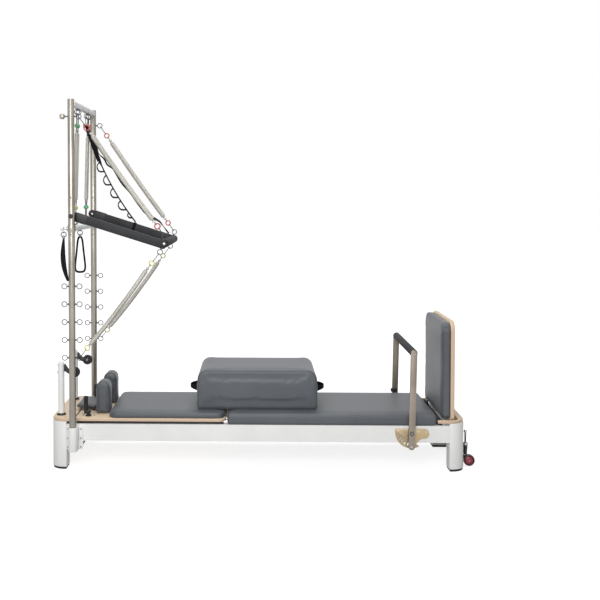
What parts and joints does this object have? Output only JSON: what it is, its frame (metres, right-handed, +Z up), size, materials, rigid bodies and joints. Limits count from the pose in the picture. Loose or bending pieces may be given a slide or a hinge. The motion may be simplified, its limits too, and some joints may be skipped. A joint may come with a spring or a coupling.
{
  "type": "pilates tower unit",
  "caption": "Pilates reformer with a half trapeze tower, push-through bar with springs, carriage, mat extension, sitting box, jump board and footbar.",
  "frame": {"origin": "middle of the part's outline on the floor, under its feet", "axes": "+X along the frame towards the foot end (footbar and jump board), +Y across the frame, +Z up"},
  "size_m": [2.5102, 0.8206, 2.166],
  "materials": {
    "white_paint": "satin",
    "plywood": "satin",
    "stainless": "satin",
    "spring_steel": "satin",
    "bar_aluminium": "satin",
    "upholstery": "satin",
    "charcoal_aluminium": "satin",
    "bracket_steel": "satin",
    "black_plastic": "matte",
    "foam": "matte",
    "tyre": "matte",
    "plate_metal": "satin",
    "webbing": "matte"
  },
  "bodies": {
    "frame": {"side_rail_near": "white_paint", "side_rail_far": "white_paint", "leg_head_near": "white_paint", "leg_head_far": "white_paint", "leg_foot_near": "white_paint", "leg_foot_far": "white_paint", "post_socket_near": "white_paint", "post_socket_far": "white_paint", "pulley_riser_near": "white_paint", "pulley_riser_far": "white_paint", "pulley_arm_near": "bracket_steel", "pulley_arm_far": "bracket_steel", "head_beam": "white_paint", "foot_beam": "white_paint", "head_deck": "plywood", "foot_deck": "plywood", "tower_post_near": "stainless", "tower_post_far": "stainless", "top_crossbar": "bar_aluminium", "lower_crossbar": "white_paint", "push_bar_pivot_near": "black_plastic", "push_bar_pivot_far": "black_plastic", "footbar_plate_near": "plate_metal", "footbar_plate_far": "plate_metal", "transport_bracket_near": "bracket_steel", "transport_bracket_far": "bracket_steel", "spring_bar": "bar_aluminium", "hanging_spring_1": "spring_steel", "hanging_spring_2": "spring_steel", "hanging_spring_3": "spring_steel", "hanging_spring_4": "spring_steel", "upper_spring_near": "spring_steel", "upper_spring_far": "spring_steel", "lower_spring_near": "spring_steel", "lower_spring_far": "spring_steel", "safety_strap_near": "webbing", "safety_strap_far": "webbing"},
    "push_bar": {"push_bar_frame": "charcoal_aluminium", "push_bar_grip": "foam"},
    "pulley_near": {"pulley_wheel_near": "black_plastic"},
    "pulley_far": {"pulley_wheel_far": "black_plastic"},
    "transport_wheel_near": {"transport_wheel_near": "tyre"},
    "transport_wheel_far": {"transport_wheel_far": "tyre"},
    "foot_loop_inner": {"foot_loop_inner": "webbing"},
    "foot_loop_outer": {"foot_loop_outer": "webbing"},
    "carriage": {"carriage_board": "plywood", "carriage_cushion": "upholstery", "carriage_spring_set": "spring_steel"},
    "carriage_wheels_head": {"carriage_wheels_head": "tyre"},
    "carriage_wheels_foot": {"carriage_wheels_foot": "tyre"},
    "shoulder_rest_near": {"shoulder_rest_near": "upholstery"},
    "shoulder_rest_far": {"shoulder_rest_far": "upholstery"},
    "headrest": {"headrest": "upholstery"},
    "mat": {"mat_extension": "upholstery"},
    "box": {"sitting_box": "upholstery"},
    "jump_board": {"jump_board_panel": "plywood", "jump_board_cushion": "upholstery"},
    "footbar": {"footbar_frame": "stainless", "footbar_grip": "foam"}
  },
  "joints": [
    {"name": "push_bar_swing", "type": "hinge", "parent": "frame", "child": "push_bar", "pos_m": [-1.11115, 0, 1.492], "axis": [0, -1, 0], "range_deg": [0, 40], "deforming": ["upper_spring_near", "upper_spring_far", "lower_spring_near", "lower_spring_far", "safety_strap_near", "safety_strap_far"]},
    {"name": "pulley_spin_near", "type": "hinge", "parent": "frame", "child": "pulley_near", "pos_m": [-1.12715, -0.215, 0.556], "axis": [0, 1, 0], "continuous": true},
    {"name": "pulley_spin_far", "type": "hinge", "parent": "frame", "child": "pulley_far", "pos_m": [-1.12715, 0.215, 0.556], "axis": [0, 1, 0], "continuous": true},
    {"name": "transport_wheel_spin_near", "type": "hinge", "parent": "frame", "child": "transport_wheel_near", "pos_m": [1.22215, -0.2, 0.038], "axis": [0, 1, 0], "continuous": true},
    {"name": "transport_wheel_spin_far", "type": "hinge", "parent": "frame", "child": "transport_wheel_far", "pos_m": [1.22215, 0.2, 0.038], "axis": [0, 1, 0], "continuous": true},
    {"name": "foot_loop_swing_inner", "type": "hinge", "parent": "frame", "child": "foot_loop_inner", "pos_m": [-1.11115, -0.108, 1.37], "axis": [0, 1, 0], "range_deg": [-15, 15]},
    {"name": "foot_loop_swing_outer", "type": "hinge", "parent": "frame", "child": "foot_loop_outer", "pos_m": [-1.15715, -0.373, 1.37], "axis": [0, 1, 0], "range_deg": [0, 20]},
    {"name": "carriage_slide", "type": "slide", "parent": "frame", "child": "carriage", "axis": [1, 0, 0], "range_m": [0, 0.005]},
    {"name": "carriage_wheels_head_roll", "type": "hinge", "parent": "carriage", "child": "carriage_wheels_head", "pos_m": [-1.02815, 0, 0.2383], "axis": [0, 1, 0], "range_deg": [-15, 15]},
    {"name": "carriage_wheels_foot_roll", "type": "hinge", "parent": "carriage", "child": "carriage_wheels_foot", "pos_m": [-0.30415, 0, 0.2383], "axis": [0, 1, 0], "range_deg": [-15, 15]},
    {"name": "shoulder_rest_lift_near", "type": "slide", "parent": "carriage", "child": "shoulder_rest_near", "axis": [0, 0, 1], "range_m": [0, 0.08]},
    {"name": "shoulder_rest_lift_far", "type": "slide", "parent": "carriage", "child": "shoulder_rest_far", "axis": [0, 0, 1], "range_m": [0, 0.08]},
    {"name": "headrest_tilt", "type": "hinge", "parent": "carriage", "child": "headrest", "pos_m": [-1.01315, 0, 0.3013], "axis": [0, 1, 0], "range_deg": [0, 15]},
    {"name": "mat_lift", "type": "slide", "parent": "frame", "child": "mat", "axis": [0, 0, 1], "range_m": [0, 0.3]},
    {"name": "box_lift", "type": "slide", "parent": "mat", "child": "box", "axis": [0, 0, 1], "range_m": [0, 0.3]},
    {"name": "jump_board_lift", "type": "slide", "parent": "frame", "child": "jump_board", "axis": [0, 0, 1], "range_m": [0, 0.15]},
    {"name": "footbar_tilt", "type": "hinge", "parent": "frame", "child": "footbar", "pos_m": [0.85985, 0, 0.231], "axis": [0, 1, 0], "range_deg": [0, 18]}
  ],
  "couplings": [
    {"joint": "carriage_wheels_head_roll", "follows": "carriage_slide", "rad_per_m": 41.667},
    {"joint": "carriage_wheels_foot_roll", "follows": "carriage_slide", "rad_per_m": 41.667}
  ]
}
